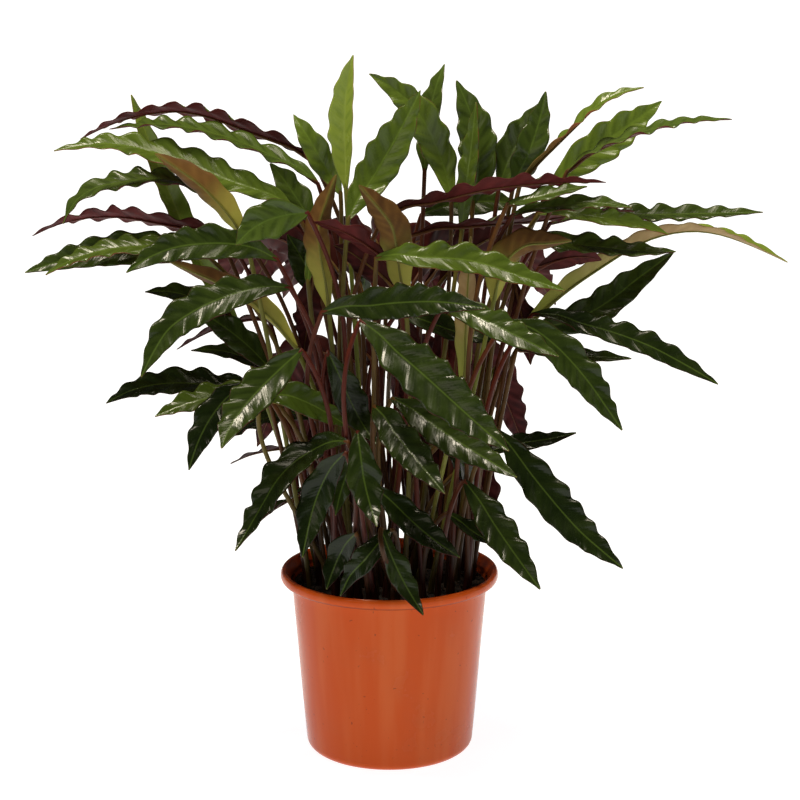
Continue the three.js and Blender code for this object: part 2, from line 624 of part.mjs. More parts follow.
function potGeometry() {
  const corner = CORNER_CUT * POT_CORNER;
  const roll = RIM_ROUNDING * RIM_DEPTH;
  return turned([
    [0, 0],
    [POT_BASE_RADIUS - POT_CORNER, 0],
    [POT_BASE_RADIUS - corner, corner],
    [POT_BASE_RADIUS, POT_CORNER],
    [POT_NECK_RADIUS, RIM_FOOT],
    [RIM_RADIUS - roll, RIM_FOOT],
    [RIM_RADIUS, RIM_FOOT + 2 * roll],
    [RIM_RADIUS, POT_HEIGHT - 1.5 * roll],
    [RIM_RADIUS - 1.5 * roll, POT_HEIGHT],
    [RIM_INNER_RADIUS, POT_HEIGHT - roll],
    [POT_NECK_RADIUS - POT_WALL, RIM_FOOT - ROLL_DEPTH],
    [POT_BASE_RADIUS - POT_WALL, POT_CORNER],
    [POT_BASE_RADIUS - POT_WALL - INNER_CORNER, POT_FLOOR],
    [0, POT_FLOOR],
  ]);
}

// Soil fills the pot with a small gap all round, and has a square hole for each shoot.
function soilGeometry(shoots) {
  const low = POT_BASE_RADIUS - POT_WALL - 2 * GAP;
  const high = POT_NECK_RADIUS - POT_WALL - 2 * GAP;
  const neck = RIM_FOOT - ROLL_DEPTH;
  const body = toSolid(turned([
    [0, POT_FLOOR + GAP],
    [low - INNER_CORNER, POT_FLOOR + GAP],
    [low, POT_CORNER + GAP],
    [high, neck],
    [high, SOIL_TOP],
    [0, SOIL_TOP],
  ]));
  const cut = shoots.reduce((soil, shoot) => {
    const { x, y } = shoot.root;
    const radius = (shoot.leaves.length > 1 ? SHEATH_RADIUS : STALK_RADIUS) + HOLE_CLEARANCE;
    const hole = prism(4, radius * Math.SQRT2, x, y, SOIL_TOP - HOLE_DEPTH, POT_HEIGHT);
    return soil.subtract(toSolid(hole));
  }, body);
  return toGeometry(cut);
}

function part(name, geometry, color, roughness) {
  const material = new THREE.MeshStandardMaterial({ color, roughness, metalness: 0 });
  const mesh = new THREE.Mesh(geometry, material);
  mesh.name = name;
  return mesh;
}

leaves.forEach((leaf) => {
  leaf.bend = 0;
  leaf.root = leaf.points[0].clone().multiplyScalar(ROOT_SHARE).setZ(SOIL_TOP);
});
rankLeaves();
const shoots = groupShoots();
placeRoots(shoots);
settleRoots(shoots, FIRST_ROUNDS);
bendClear(shoots);

const plant = new THREE.Group();
plant.name = 'potted_calathea';
plant.add(part('pot', potGeometry(), 0xb8502a, 0.4));
plant.add(part('soil', soilGeometry(shoots), 0x1d1612, 0.95));
shoots.forEach((shoot, i) => {
  const name = `${shoot.kind}_shoot_${String(i + 1).padStart(2, '0')}`;
  plant.add(part(name, shootGeometry(shoot), KINDS[shoot.kind].colour, 0.35));
});

export default plant;
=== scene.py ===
"""Dresses the potted calathea: pot, peat, stalks and waved leaves, with a pale studio round them."""

import math
import random
from typing import NamedTuple

import bmesh
import bpy
import numpy as np
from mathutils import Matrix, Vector, noise


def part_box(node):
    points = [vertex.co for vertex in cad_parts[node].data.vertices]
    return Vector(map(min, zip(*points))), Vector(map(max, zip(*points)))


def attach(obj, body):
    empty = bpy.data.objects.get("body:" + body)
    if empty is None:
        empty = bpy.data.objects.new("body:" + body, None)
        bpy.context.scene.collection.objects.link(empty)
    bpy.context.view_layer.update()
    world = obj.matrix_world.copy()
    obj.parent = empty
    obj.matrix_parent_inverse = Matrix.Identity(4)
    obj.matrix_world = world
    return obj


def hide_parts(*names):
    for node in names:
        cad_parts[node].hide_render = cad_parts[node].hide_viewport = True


bl_info = {
    "name": "Potted calathea",
    "version": (1, 0, 0),
    "blender": (4, 5, 0),
    "location": "View3D > Sidebar > Calathea",
    "description": "Builds the leaves, stalks, peat and pot of a potted calathea round its CAD frame",
    "category": "Object",
}

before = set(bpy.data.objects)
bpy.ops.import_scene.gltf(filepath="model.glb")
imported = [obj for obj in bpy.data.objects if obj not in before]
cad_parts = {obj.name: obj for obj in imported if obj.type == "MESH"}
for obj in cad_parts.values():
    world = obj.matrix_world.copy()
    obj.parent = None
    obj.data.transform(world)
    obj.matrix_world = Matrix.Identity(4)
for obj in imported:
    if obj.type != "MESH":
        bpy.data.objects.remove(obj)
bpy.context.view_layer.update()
POT_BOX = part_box("pot")
SOIL_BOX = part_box("soil")
MM = 0.001

# How a CAD shoot is laid out. Each leaf with its stalk is a row of rings of six corners, from the tip down.
# The shoot ends at ROOT_Z, under the soil, and its stalks stand straight up to ROOT_TOP_Z.
CORNERS = 6
LEAST_RINGS = 4
ROOT_Z = 142 * MM
ROOT_TOP_Z = 178 * MM
ROOT_CLEAR = 4 * MM
STALK_RING = 2.6 * MM
WELD = 0.01 * MM

# How a blade is laid. Widths are those of one side. A side narrower than the full widths has lower waves and
# pleats. They lean forward by VEIN_LEAN for each unit outward. The midrib starts RIB_LIFT over its stalk.
# The outline swings out and in by EDGE_SWING of its width, SWING_LEAD radians ahead of the waves.
BLADE_ROWS = (40, 180)
BLADE_COLUMNS = 14
FOOT_WIDTH = 2.0 * MM
TIP_WIDTH = 0.4 * MM
LEAST_WIDTH = 0.35 * MM
RIB_LIFT = 1.2 * MM
FULL_WAVE_WIDTH = 13 * MM
FULL_PLEAT_WIDTH = 12 * MM
VEIN_LEAN = 1.1
TROUGH_SHARPNESS = 0.15
EDGE_SWING = 0.09
SWING_LEAD = 0.6
GROOVE_DEPTH = 0.45 * MM
GROOVE_WIDTH = 1.4 * MM

# How a stalk is drawn: steps between its CAD rings and under the midrib, the height and fading of its
# sheath and how far it swells, how far each of two stalks is from their sheath's middle, the shares of the
# midrib that it runs on under and how deep, its radii there in mm, and the height over which its colour
# changes.
STALK_STEPS = 12
RIB_STEPS = 25
SHEATH_TOP_Z = 166 * MM
SHEATH_FADE = 16 * MM
SINGLE_SWELL = 0.8 * MM
SHARED_SWELL = 1.9 * MM
STALK_SPREAD = 1.6 * MM
RIB_REACH = (0.02, 0.985)
RIB_SINK = 0.8 * MM
RIB_SHARES = (0, 0.15, 0.5, 1)
RIB_RADII = (2.0, 1.25, 0.8, 0.3)
COLOUR_CLIMB = 300 * MM

# Blades that start above this height are lighter and those below it darker, over this range: partly their
# age, partly painted light and shade.
MIDDLE_Z = 250 * MM
TINT_RANGE = 350 * MM


class Kind(NamedTuple):
    """What sets one kind of leaf apart."""

    wave: float  # height of the edge waves at the foot of the blade
    tip_wave: float  # height of the edge waves at the tip
    pleat: float  # depth of the pleats
    bowl: float  # how suddenly the sides rise: 1 is a straight slope
    lime: float  # how yellow-green the stalk is, from 0 to 1
    foot: tuple  # shares of the length between which the underside turns from its foot's colour to red
    reds: tuple  # underside: deep colour, pale colour and the colour at its foot


KINDS = {
    "mature": Kind(3.2 * MM, 2.8 * MM, 0.55 * MM, 1.15, 0.06, (0.15, 0.7), ("#22090b", "#5c2625", "#361410")),
    "fresh": Kind(3.2 * MM, 2.8 * MM, 0.55 * MM, 1.15, 0.3, (0.15, 0.7), ("#55281a", "#865033", "#746632")),
    "young": Kind(0.4 * MM, 2.2 * MM, 0.25 * MM, 1.35, 0.85, (0.15, 0.7), ("#8a6f4c", "#a59066", "#939c46")),
    "furled": Kind(0.4 * MM, 1.6 * MM, 0.25 * MM, 1.35, 0.75, (0.25, 0.7), ("#48301a", "#74542a", "#9c9a46")),
}


def linear(code):
    """A colour from its sRGB hex code, as the linear values that Blender works in."""
    parts = [int(code[i : i + 2], 16) / 255 for i in (1, 3, 5)]
    return tuple(c / 12.92 if c <= 0.04045 else ((c + 0.055) / 1.055) ** 2.4 for c in parts) + (1.0,)


def length_property(name, description, default):
    """A size in metres that the user can change."""
    return bpy.props.FloatProperty(
        name=name, description=description, default=default, unit="LENGTH", precision=5
    )


def colour_property(name, description, code):
    """A colour that the user can change, given as its hex code."""
    return bpy.props.FloatVectorProperty(
        name=name, description=description, default=linear(code), subtype="COLOR", size=4, min=0, max=1
    )


class PotSettings(bpy.types.PropertyGroup):
    """Sizes and colour of the plastic pot."""

    height: length_property("Height", "Height of the pot to the top of its rim", POT_BOX[1].z)
    rim_radius: length_property("Rim radius", "Outside radius of the rolled rim", POT_BOX[1].x)
    neck_radius: length_property("Neck radius", "Outside radius of the wall under the rim", 0.0943)
    base_radius: length_property("Base radius", "Outside radius of the wall at its foot", 0.0807)
    rim_depth: length_property("Rim depth", "Height of the rolled rim", 0.010)
    wall: length_property("Wall", "Thickness of the wall", 0.002)
    floor: length_property("Floor", "Height of the floor inside", 0.0028)
    colour: colour_property("Colour", "Terracotta colour of the plastic", "#c64e12")


class SoilSettings(bpy.types.PropertyGroup):
    """Size and colours of the peat."""

    top: length_property("Top", "Height of the peat's surface", SOIL_BOX[1].z)
    roughness: length_property("Lumps", "How far lumps stand out of the surface", 0.003)
    crumbs: bpy.props.IntProperty(name="Crumbs", description="Number of loose crumbs", default=260, min=0)
    dark: colour_property("Dark", "Colour of damp peat", "#150f0b")
    light: colour_property("Light", "Colour of dry fibre in the peat", "#3d2c20")


class LeafSettings(bpy.types.PropertyGroup):
    """Sizes and colours of the leaves and stalks."""

    wave_length: length_property("Wave length", "Distance from one edge wave to the next", 0.0235)
    blade: length_property("Blade", "Thickness of a leaf", 0.0007)
    step: length_property("Step", "Distance between rows of a leaf's mesh", 0.0016)
    stalk_radius: length_property("Stalk radius", "Radius of a stalk", 0.0023)
    vein_spacing: length_property("Vein spacing", "Distance between fine side veins", 0.0034)
    mature_dark: colour_property("Mature, dark", "Darkest green of a mature leaf", "#111c06")
    mature_light: colour_property("Mature, light", "Lightest green of a mature leaf", "#556a28")
    fresh_dark: colour_property("Fresh, dark", "Darkest green of a fresh leaf", "#364613")
    fresh_light: colour_property("Fresh, light", "Lightest green of a fresh leaf", "#687e2c")
    young_dark: colour_property("Young, dark", "Darkest green of a young leaf", "#6a8230")
    young_light: colour_property("Young, light", "Lightest green of a young leaf", "#a8b84c")
    furled_dark: colour_property("Furled, dark", "Darkest colour inside a furled leaf", "#5a5a28")
    furled_light: colour_property("Furled, light", "Lightest colour inside a furled leaf", "#857c3a")


class StageSettings(bpy.types.PropertyGroup):
    """Floor and camera."""

    floor_radius: length_property("Floor radius", "Radius of the pale floor", 60.0)
    floor_colour: colour_property("Floor", "Colour of the floor", "#a8a8a7")
    glow: bpy.props.FloatProperty(
        name="Glow", description="How brightly the floor shines by itself", default=0.95, min=0
    )
    lens: bpy.props.FloatProperty(name="Lens", description="Focal length in mm", default=93.15, min=10)
    pitch: bpy.props.FloatProperty(
        name="Pitch",
        description="How far the camera looks down",
        default=math.radians(12.45),
        unit="ROTATION",
    )


# Settings that all shader nodes of a kind share.
NODE_SETTINGS = {"MapRange": {"interpolation_type": "SMOOTHSTEP"}, "Mix": {"data_type": "RGBA"}}


def node(tree, kind, *values, output=None, **settings):
    """Adds a shader node and returns its output: the first in use, or the one that is named.

    The values fill the inputs in use, in their order. A keyword with a capital letter names an input, and any
    other one is a setting. An input takes a number, a colour or another node's output.
    """
    made = tree.nodes.new(f"ShaderNode{kind}")
    named = {key: value for key, value in settings.items() if key[0].isupper()}
    for key, value in {**NODE_SETTINGS.get(kind, {}), **settings}.items():
        if key not in named:
            setattr(made, key, value)
    in_use = [socket for socket in made.inputs if socket.enabled]
    fed = [*zip(in_use, values), *((made.inputs[key], value) for key, value in named.items())]
    for socket, value in fed:
        if isinstance(value, bpy.types.NodeSocket):
            tree.links.new(value, socket)
        else:
            socket.default_value = value
    return made.outputs[output] if output else next(socket for socket in made.outputs if socket.enabled)


def new_material(name, **sockets):
    """A material with a bare Principled shader and its constant sockets set, with its tree and its shader."""
    material = bpy.data.materials.new(name)
    material.use_nodes = True
    tree = material.node_tree
    shader = next(made for made in tree.nodes if made.type == "BSDF_PRINCIPLED")
    for socket, value in sockets.items():
        shader.inputs[socket.replace("_", " ")].default_value = value
    return material, tree, shader


def skin(tree, shader, colour, roughness, relief, strength, depth):
    """Gives a shader its colour, its roughness and a fine relief of that depth in metres."""
    bump = node(tree, "Bump", Height=relief, Strength=strength, Distance=depth)
    tree.links.new(colour, shader.inputs["Base Color"])
    tree.links.new(roughness, shader.inputs["Roughness"])
    tree.links.new(bump, shader.inputs["Normal"])


def cloud(tree, size, detail=3.0, stretch=(1, 1, 1)):
    """Cloudy noise from 0 to 1 in lumps about that many metres wide, longer where the stretch is under 1."""
    place = node(tree, "TexCoord", output="Object")
    spot = node(tree, "Mapping", place, Scale=tuple(share / size for share in stretch))
    return node(tree, "TexNoise", spot, Scale=1.0, Detail=detail)


def vein_wave(tree, spacing, slant):
    """A wave across the side veins, from -1 to 1. The veins lean forward from the midrib to the edge."""
    across = node(tree, "Attribute", attribute_name="across", output="Fac")
    along = node(tree, "Attribute", attribute_name="along", output="Fac")
    out = node(tree, "Math", across, operation="ABSOLUTE")
    forward = node(tree, "Math", out, slant, operation="MULTIPLY")
    path = node(tree, "Math", along, forward, operation="SUBTRACT")
    turn = node(tree, "Math", path, 2 * math.pi / spacing, operation="MULTIPLY")
    return node(tree, "Math", turn, operation="SINE")


def leaf_top_material(kind, dark, light, spacing):
    """Calathea leaf, upper side: a waxy cuticle over pleated tissue, so highlights break up at each pleat."""
    material, tree, shader = new_material(f"calathea_{kind}_leaf_cuticle", IOR=1.38, Specular_IOR_Level=0.36)
    across = node(tree, "Attribute", attribute_name="across", output="Fac")
    edge = node(tree, "Attribute", attribute_name="edge", output="Fac")
    share = node(tree, "Attribute", attribute_name="share", output="Fac")
    tint = node(tree, "Attribute", attribute_name="tint", output="Fac")
    pleat = node(tree, "Attribute", attribute_name="pleat", output="Fac")
    mottle = node(tree, "Math", cloud(tree, 24 * MM), 0.35, operation="MULTIPLY")
    # High leaves are painted lighter, as lit, and low ones darker, as painted shade, with a random mottle.
    lit_height_and_mottle = node(tree, "Math", tint, 0.75, mottle, operation="MULTIPLY_ADD")
    green = node(tree, "Mix", node(tree, "MapRange", lit_height_and_mottle, 0.1, 1.0), dark, light)
    # Each pleat is painted darker where it sinks to a side vein: painted shade in the crease.
    sunk = node(tree, "MapRange", pleat, -0.9, -0.1, 0.4, 0.0)
    pleated = node(tree, "Mix", sunk, green, dark)
    # The midrib is a paler line that fades out about 1 mm to each side.
    out = node(tree, "Math", across, operation="ABSOLUTE")
    rib = node(tree, "MapRange", out, 0.2 * MM, 1.1 * MM, 0.4, 0.0)
    pale = node(tree, "Mix", 0.3, light, linear("#6f8f3c"))
    ribbed = node(tree, "Mix", rib, pleated, pale)
    # The very edge, under a millimetre wide, turns dark red.
    margin = node(tree, "MapRange", edge, 0.96, 1.0, 0.0, 0.5)
    edged = node(tree, "Mix", margin, ribbed, linear("#3a2018"))
    # The last few millimetres of a tip dry to straw.
    tip = node(tree, "MapRange", share, 0.98, 1.0, 0.0, 0.6)
    colour = node(tree, "Mix", tip, edged, linear("#8c8240"))
    # The wax lies in patches of unlike gloss.
    roughness = node(tree, "MapRange", cloud(tree, 12 * MM), 0.25, 0.75, 0.17, 0.3)
    grain = node(tree, "Math", cloud(tree, 1.2 * MM, detail=1.0), 0.8, operation="MULTIPLY")
    relief = node(tree, "Math", vein_wave(tree, spacing, 0.85), 0.5, grain, operation="MULTIPLY_ADD")
    skin(tree, shader, colour, roughness, relief, strength=0.34, depth=0.12 * MM)
    return material


def leaf_under_material(kind, deep, pale, foot):
    """Calathea leaf, underside: satin, short-haired tissue full of red pigment, lime at a young foot."""
    material, tree, shader = new_material(f"calathea_{kind}_leaf_underside", IOR=1.4, Specular_IOR_Level=0.12)
    across = node(tree, "Attribute", attribute_name="across", output="Fac")
    share = node(tree, "Attribute", attribute_name="share", output="Fac")
    tint = node(tree, "Attribute", attribute_name="tint", output="Fac")
    pleat = node(tree, "Attribute", attribute_name="pleat", output="Fac")
    mottle = cloud(tree, 20 * MM)
    # The red is paler in high leaves, as painted light, darker in low ones, as painted shade, and paler where
    # a vein stands out below.
    ridge = node(tree, "Math", pleat, -0.15, operation="MULTIPLY")
    lit_height_and_vein = node(tree, "Math", tint, 0.35, ridge, operation="MULTIPLY_ADD")
    paleness = node(tree, "Math", mottle, 0.55, lit_height_and_vein, operation="MULTIPLY_ADD")
    red = node(tree, "Mix", node(tree, "MapRange", paleness, 0.15, 0.7), deep, pale)
    # The foot's colour ends in an uneven front.
    reach = node(tree, "Math", mottle, 0.25, share, operation="MULTIPLY_ADD")
    shaded = node(tree, "Mix", node(tree, "MapRange", reach, *KINDS[kind].foot), foot, red)
    out = node(tree, "Math", across, operation="ABSOLUTE")
    rib = node(tree, "MapRange", out, 0.5 * MM, 2.2 * MM, 0.2, 0.0)
    colour = node(tree, "Mix", rib, shaded, foot)
    roughness = node(tree, "MapRange", mottle, 0.3, 0.7, 0.42, 0.55)
    # Hairs are finer than the picture shows, so they are drawn about 1 mm coarse.
    hairs = cloud(tree, 1.2 * MM, detail=1.0)
    skin(tree, shader, colour, roughness, hairs, strength=0.2, depth=0.15 * MM)
    return material


def stalk_material():
    """Calathea stalk: a smooth fibrous skin, wine red at the soil and darker there partly as painted shade,
    rust or yellow-green towards the blade.
    """
    material, tree, shader = new_material("calathea_stalk_skin", IOR=1.4, Specular_IOR_Level=0.25)
    climb = node(tree, "Attribute", attribute_name="share", output="Fac")
    green = node(tree, "Attribute", attribute_name="tint", output="Fac")
    streak = cloud(tree, 2.4 * MM, stretch=(1, 1, 0.06))
    streaked = node(tree, "MapRange", streak, 0.3, 0.7)
    wine = node(tree, "Mix", streaked, linear("#180705"), linear("#35110c"))
    rust = node(tree, "Mix", streak, linear("#34110b"), linear("#602413"))
    lime = node(tree, "Mix", streak, linear("#545a20"), linear("#808a3a"))
    # The stalk turns from dark wine near the soil to rust higher up: its own colour, darkened low down as
    # painted shade.
    red = node(tree, "Mix", node(tree, "MapRange", climb, 0.05, 0.5), wine, rust)
    freshness = node(tree, "MapRange", climb, 0.1, 0.45, 0.25, 1.0)
    limed = node(tree, "Math", green, freshness, operation="MULTIPLY")
    colour = node(tree, "Mix", limed, red, lime)
    roughness = node(tree, "MapRange", streak, 0.3, 0.7, 0.38, 0.5)
    skin(tree, shader, colour, roughness, streak, strength=0.3, depth=0.2 * MM)
    return material


def pot_material(colour, roll_foot):
    """Polypropylene, injection moulded: a glossy skin with upright flow streaks that are partly painted
    highlight bands, dust, a painted shadow line under the rim and a fine grain.
    """
    material, tree, shader = new_material(
        "moulded_polypropylene_terracotta", IOR=1.49, Specular_IOR_Level=0.16
    )
    # Lighter upright streaks run all round the wall: partly moulded flow marks, partly painted soft highlight
    # bands.
    flow = cloud(tree, 26 * MM, stretch=(1, 1, 0.05))
    dust = cloud(tree, 60 * MM, detail=5.0)
    streaks_and_sheen = node(tree, "MapRange", flow, 0.45, 0.68, 0.0, 0.5)
    streaked = node(tree, "Mix", streaks_and_sheen, colour, linear("#d06834"))
    dusting = node(tree, "MapRange", dust, 0.5, 0.8, 0.0, 0.28)
    dusty = node(tree, "Mix", dusting, streaked, linear("#ad5833"))
    # Small dark specks of peat that cling to the wall, about 1 mm across and rare.
    speck = node(tree, "MapRange", cloud(tree, 5 * MM, detail=2.0), 0.7, 0.75, 0.0, 0.6)
    specked = node(tree, "Mix", speck, dusty, linear("#6b2c18"))
    # A painted shadow line darkens the wall just under the rolled rim, where shade falls.
    place = node(tree, "TexCoord", output="Object")
    rise = node(tree, "SeparateXYZ", place, output="Z")
    below = node(tree, "Math", rise, roll_foot, operation="SUBTRACT")
    away = node(tree, "Math", below, operation="ABSOLUTE")
    line = node(tree, "MapRange", away, 0.5 * MM, 3.0 * MM, 0.75, 0.0)
    rim_shadowed = node(tree, "Mix", line, specked, linear("#5a2008"))
    roughness = node(tree, "MapRange", dust, 0.3, 0.75, 0.16, 0.3)
    grain = cloud(tree, 0.9 * MM, detail=2.0)
    skin(tree, shader, rim_shadowed, roughness, grain, strength=0.12, depth=0.1 * MM)
    return material


def peat_material(dark, light):
    """Damp potting peat: crumbly and matt, with drier brown fibres."""
    material, tree, shader = new_material("damp_potting_peat", IOR=1.4)
    crumbs = cloud(tree, 4 * MM, detail=6.0)
    fibres = cloud(tree, 2 * MM, stretch=(1, 0.2, 1))
    relief = node(tree, "Math", crumbs, fibres, operation="MULTIPLY")
    colour = node(tree, "Mix", node(tree, "MapRange", relief, 0.2, 0.45), dark, light)
    roughness = node(tree, "MapRange", crumbs, 0.3, 0.7, 0.75, 0.98)
    skin(tree, shader, colour, roughness, relief, strength=0.8, depth=1.5 * MM)
    return material


def clear_selection():
    """Leaves edit mode and selects nothing."""
    if bpy.context.object is not None and bpy.context.object.mode != "OBJECT":
        bpy.ops.object.mode_set(mode="OBJECT")
    bpy.ops.object.select_all(action="DESELECT")


def select_only(*objects):
    """Selects these objects and no others, and makes the first of them active."""
    clear_selection()
    for piece in objects:
        piece.select_set(True)
    bpy.context.view_layer.objects.active = objects[0]


def finish_piece(piece, name, slot, *nodes):
    """Names a piece, applies its place and binds it to the frame."""
    select_only(piece)
    bpy.ops.object.transform_apply(location=True, rotation=True, scale=True)
    piece.name = name
    piece.data.name = name
    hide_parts(*nodes)
    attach(piece, "root")


def through(values, spots):
    """Values at fractional places along a row of them, on a smooth curve through every one."""
    values = np.asarray(values, float)
    last = len(values) - 1
    cell = np.clip(np.floor(spots).astype(int), 0, last - 1)
    t = (spots - cell).reshape((-1,) + (1,) * (values.ndim - 1))
    before, after = values[np.clip(cell - 1, 0, last)], values[np.clip(cell + 2, 0, last)]
    start, end = values[cell], values[cell + 1]
    lead, trail = (end - before) / 2, (after - start) / 2
    curve = (2 * t**3 - 3 * t**2 + 1) * start + (t**3 - 2 * t**2 + t) * lead
    return curve + (3 * t**2 - 2 * t**3) * end + (t**3 - t**2) * trail


def unit(vectors):
    """Each vector at a length of 1."""
    return vectors / np.maximum(np.linalg.norm(vectors, axis=-1, keepdims=True), 1e-12)


def square_to(vectors, axes):
    """Each vector turned square to its axis, at a length of 1."""
    return unit(vectors - axes * np.sum(vectors * axes, axis=1, keepdims=True))


def layers_from(tip):
    """Corners in steps of one edge away from a tip, while each step is a ring of six."""
    rings, seen, edge = [], {tip}, [tip]
    while True:
        ring = []
        for corner in edge:
            for link in corner.link_edges:
                other = link.other_vert(corner)
                if other not in seen:
                    seen.add(other)
                    ring.append(other)
        if len(ring) != CORNERS:
            return rings
        rings.append(ring)
        edge = ring


def walked(ring, inner):
    """A ring's corners in the order in which its faces turn, or None if it isn't a plain ring."""
    members, inside = set(ring), set(inner)
    following = {}
    for corner in ring:
        for loop in corner.link_loops:
            after, before = loop.link_loop_next.vert, loop.link_loop_prev.vert
            if after in members and before in inside:
                following[corner] = after
    order = [ring[0]]
    while len(order) < CORNERS:
        after = following.get(order[-1])
        if after is None or after in order:
            return None
        order.append(after)
    return order


def is_stalk(ring):
    """Whether a ring is as small as a stalk's."""
    return np.linalg.norm(ring - ring.mean(axis=0), axis=1).max() < STALK_RING


def leaf_rings(mesh):
    """Every leaf in a CAD shoot: its tip, and its rings of corners from the tip down."""
    found = []
    for tip in mesh.verts:
        if len(tip.link_edges) != CORNERS or tip.co.z < ROOT_Z + MM:
            continue
        layers = layers_from(tip)
        if len(layers) < LEAST_RINGS:
            continue
        rings, inner = [], [tip]
        for layer in layers:
            order = walked(layer, inner)
            if order is None:
                break
            rings.append(np.array([corner.co for corner in order]))
            inner = layer
        if any(is_stalk(ring) for ring in rings):
            found.append((np.array(tip.co), rings))
    return found


def blade_layout(rings):
    """Turns each blade ring so that it reads: left edge twice, upper rib, right edge twice, lower rib."""
    laid = []
    for ring in rings:
        sides = np.linalg.norm(np.roll(ring, -1, axis=0) - ring, axis=1)
        start = int(np.argmin(sides[:3] + sides[3:]))
        ring = np.roll(ring, -start, axis=0)
        if laid and np.sum((np.roll(ring, -3, axis=0) - laid[-1]) ** 2) < np.sum((ring - laid[-1]) ** 2):
            ring = np.roll(ring, -3, axis=0)
        laid.append(ring)
    laid = np.array(laid)
    # The lower corner of an edge stands a little nearer the rib than the upper one.
    across = unit(laid[:, 3] + laid[:, 4] - laid[:, 0] - laid[:, 1])
    left = np.sum((laid[:, 0] - laid[:, 1]) * across, axis=1)
    right = np.sum((laid[:, 3] - laid[:, 4]) * across, axis=1)
    return laid if np.sum(left + right) > 0 else np.roll(laid, -3, axis=1)


def smoothed(values):
    """Takes a wave that turns at every ring out of a row of values."""
    inner = (values[:-2] + 2 * values[1:-1] + values[2:]) / 4
    return np.concatenate([values[:1], inner, values[-1:]])


def add_values(mesh, **values):
    """Gives each point of a mesh named values, which its materials read."""
    for name, value in values.items():
        made = mesh.attributes.new(name, "FLOAT", "POINT")
        made.data.foreach_set("value", np.asarray(value, np.float32).ravel())


class Leaf:
    """One leaf read from the CAD shoot: its midrib, the sides of its blade, its stalk and its tints."""

    def __init__(self, tip, rings, root, kind, chance):
        self.kind, self.chance = KINDS[kind], chance
        blade = next(i for i, ring in enumerate(rings) if is_stalk(ring))
        stalk = [ring.mean(axis=0) for ring in rings[blade:]]
        laid = blade_layout(rings[:blade])[::-1]
        up = unit(laid[:, 2] - laid[:, 5])
        across = square_to(laid[:, 3] + laid[:, 4] - laid[:, 0] - laid[:, 1], up)
        start = stalk[0] + up[0] * RIB_LIFT
        self.rib = np.vstack([start, laid[:, 2], tip])
        self.up = np.vstack([up[0], up, up[-1]])
        self.across = np.vstack([across[0], across, across[-1]])
        sides = []
        for edge in (laid[:, 1], laid[:, 3]):
            offset = edge - laid[:, 2]
            wide = np.abs(np.sum(offset * across, axis=1))
            high = np.sum(offset * up, axis=1)
            sides.append(smoothed(np.concatenate([[FOOT_WIDTH], wide, [TIP_WIDTH]])))
            sides.append(smoothed(np.concatenate([[0.0], high, [0.0]])))
        self.left, self.left_up, self.right, self.right_up = sides
        above = [point for point in stalk if point[2] > ROOT_TOP_Z + ROOT_CLEAR]
        self.stalk = np.array([[*root, ROOT_Z], [*root, ROOT_TOP_Z], *above[::-1]])
        steps = np.linalg.norm(np.diff(self.rib, axis=0), axis=1)
        self.reach = np.concatenate([[0], np.cumsum(steps)])
        self.length = float(self.reach[-1])
        # Leaves high in the plant are painted lighter, as lit, and old ones low down darker, partly in
        # themselves and partly as painted shade.
        height = (self.rib[0][2] - MIDDLE_Z) / TINT_RANGE
        tint = 0.03 + 0.85 * height * abs(height) + chance.uniform(-0.12, 0.18)
        self.tint = float(np.clip(tint, 0, 1))
        self.green = float(np.clip(self.kind.lime + chance.uniform(-0.15, 0.2), 0, 1))

    def spots(self, lengths):
        """Places along the midrib, counted in rings, at these distances from the blade's foot."""
        return np.interp(lengths, self.reach, np.arange(len(self.reach)))


def uneven_turns(chance, lengths, half_wave):
    """The turn of an edge wave at each distance, and its height: no two waves are of one length or height."""
    crests, swell = [-half_wave * chance.uniform(0.2, 1.2)], [1.0]
    while crests[-1] < lengths.max() + half_wave:
        crests.append(crests[-1] + half_wave * chance.uniform(0.7, 1.4))
        swell.append(chance.uniform(0.45, 1.2))
    first = chance.choice([0.5, 1.5])
    turns = np.interp(lengths, crests, math.pi * (first + np.arange(len(crests))))
    return turns, np.interp(lengths, crests, swell)


